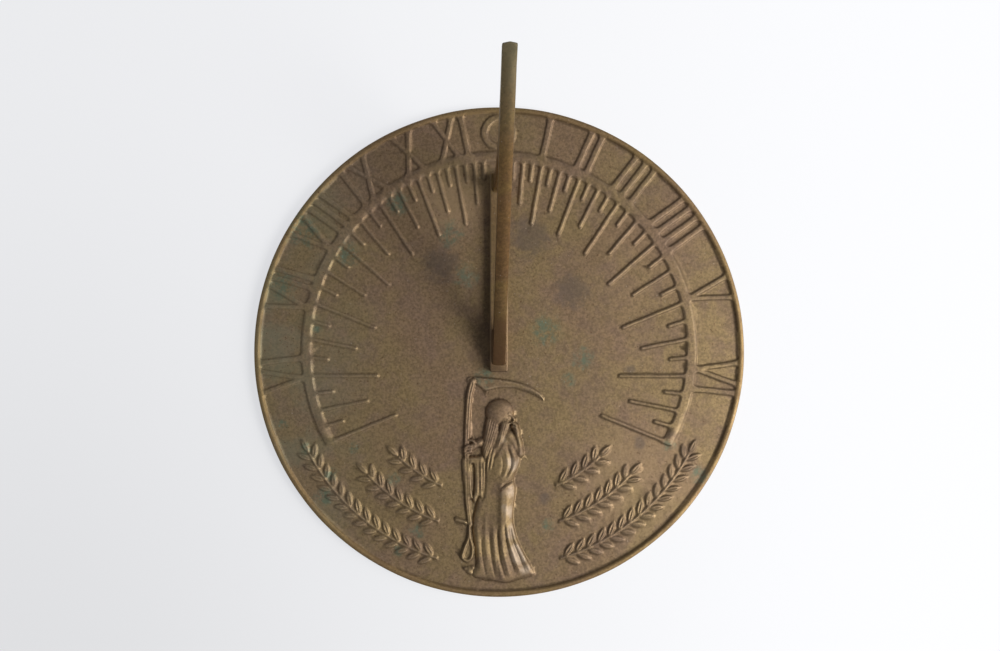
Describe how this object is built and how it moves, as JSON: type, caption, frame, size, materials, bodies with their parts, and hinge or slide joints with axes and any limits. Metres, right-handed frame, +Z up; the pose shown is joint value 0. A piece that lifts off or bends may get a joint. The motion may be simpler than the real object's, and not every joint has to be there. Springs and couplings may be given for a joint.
{
  "type": "horizontal sundial",
  "caption": "Round cast-brass garden sundial: relief dial plate with Roman hour numerals, hour ring and standing figure, and a fixed open-framed gnomon screwed on from beneath.",
  "frame": {"origin": "centre of the dial plate's flat back, on the surface that the sundial rests on", "axes": "+Z up out of the dial's face, +Y to the noon side (north in the northern hemisphere), +X to the afternoon numerals"},
  "size_m": [0.254, 0.254, 0.1229],
  "materials": {
    "plate_bronze": "cast surface with a dull brown patina, rubbed lighter on the raised work, spots of green",
    "gnomon_bronze": "cast surface with a dull olive-brown patina, smoother along the style",
    "screw_brass": "machined, tarnished"
  },
  "bodies": {
    "root": {"dial_plate": "plate_bronze", "gnomon": "gnomon_bronze", "gnomon_screw_south": "screw_brass", "gnomon_screw_north": "screw_brass"}
  },
  "joints": []
}
